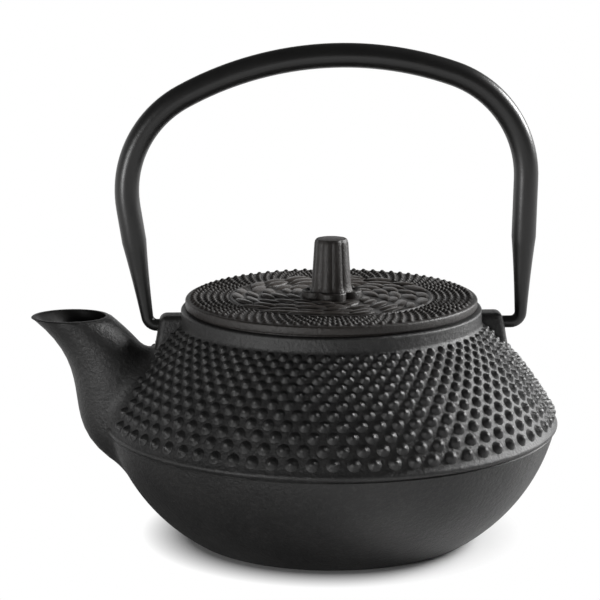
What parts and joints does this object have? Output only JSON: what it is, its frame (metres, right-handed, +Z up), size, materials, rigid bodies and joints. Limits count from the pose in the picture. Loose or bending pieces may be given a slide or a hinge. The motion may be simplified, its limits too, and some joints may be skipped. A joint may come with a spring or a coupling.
{
  "type": "teapot",
  "caption": "Round black cast-iron teapot with hobnail shoulder, short spout, knobbed lid, lift-out mesh infuser and swinging bow handle.",
  "frame": {"origin": "centre of the flat base, on the surface the pot stands on", "axes": "+Z up, the spout points to -X, the handle swings about a line along X"},
  "size_m": [0.1647, 0.142, 0.1547],
  "materials": {
    "cast_iron": "satin black over sand-cast grain",
    "handle_enamel": "smooth satin black",
    "steel": "pressed and brushed",
    "steel_mesh": "woven wire"
  },
  "bodies": {
    "pot": {"pot_body": "cast_iron"},
    "handle": {"handle_bow": "handle_enamel"},
    "infuser": {"infuser_rim": "steel", "infuser_wall": "steel_mesh", "infuser_lap_strip": "steel", "infuser_floor": "steel_mesh", "infuser_base_ring": "steel"},
    "lid": {"lid_plate": "cast_iron", "knob_seat": "cast_iron", "lid_knob": "cast_iron", "knob_washer": "steel"}
  },
  "joints": [
    {"name": "handle_swing", "type": "hinge", "parent": "pot", "child": "handle", "pos_m": [0, 0, 0.067], "axis": [1, 0, 0], "range_deg": [-115, 115]},
    {"name": "infuser_lift", "type": "slide", "parent": "pot", "child": "infuser", "axis": [0, 0, 1], "range_m": [0, 0.05]},
    {"name": "lid_lift", "type": "slide", "parent": "infuser", "child": "lid", "axis": [0, 0, 1], "range_m": [0, 0.045]}
  ]
}
